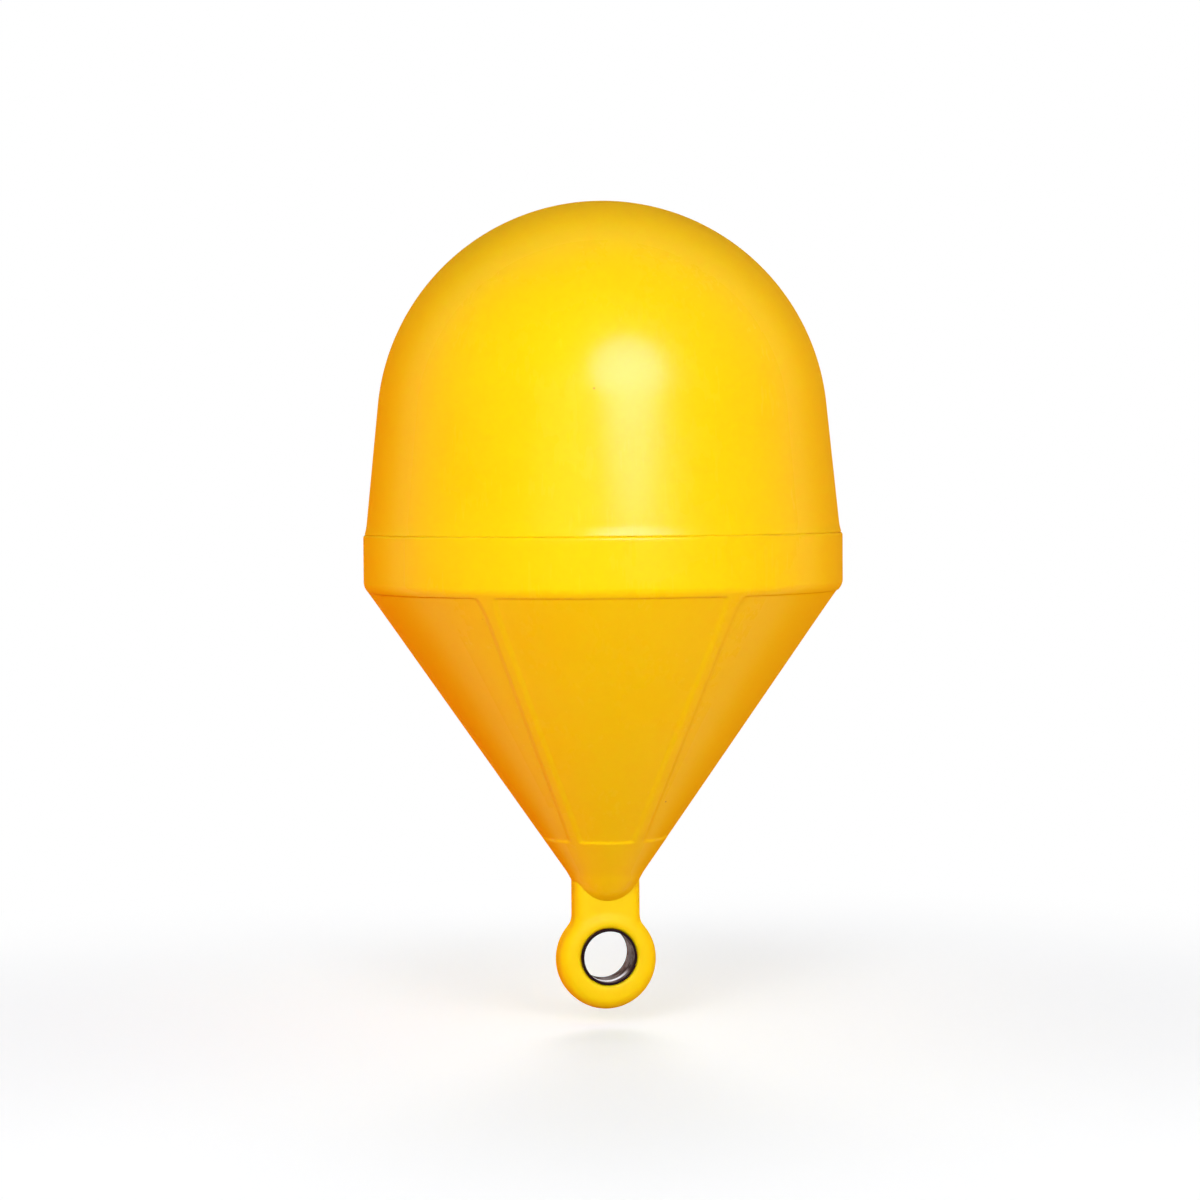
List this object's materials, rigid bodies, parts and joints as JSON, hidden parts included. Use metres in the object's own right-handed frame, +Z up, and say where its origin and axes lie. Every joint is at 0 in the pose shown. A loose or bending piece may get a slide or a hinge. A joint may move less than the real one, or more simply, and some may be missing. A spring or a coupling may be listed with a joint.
{
  "type": "navigation buoy",
  "caption": "Yellow sphero-conical marker buoy: domed top, plain belt, ribbed cone and a moulded mooring eye lined with a steel bush.",
  "frame": {"origin": "on the buoy's axis at the waterline, which is the foot of the belt", "axes": "+Z up along the buoy's axis, Y along the hole of the mooring eye"},
  "size_m": [0.4, 0.4, 0.6757],
  "materials": {
    "shell_yellow": "moulded polyethylene, satin to soft gloss",
    "eye_yellow": "moulded polyethylene, satin",
    "bush_steel": "plain steel tube, dull and browned"
  },
  "bodies": {
    "root": {"dome": "shell_yellow", "lower_shell": "shell_yellow", "mooring_eye": "eye_yellow", "eye_bush": "bush_steel"}
  },
  "joints": []
}
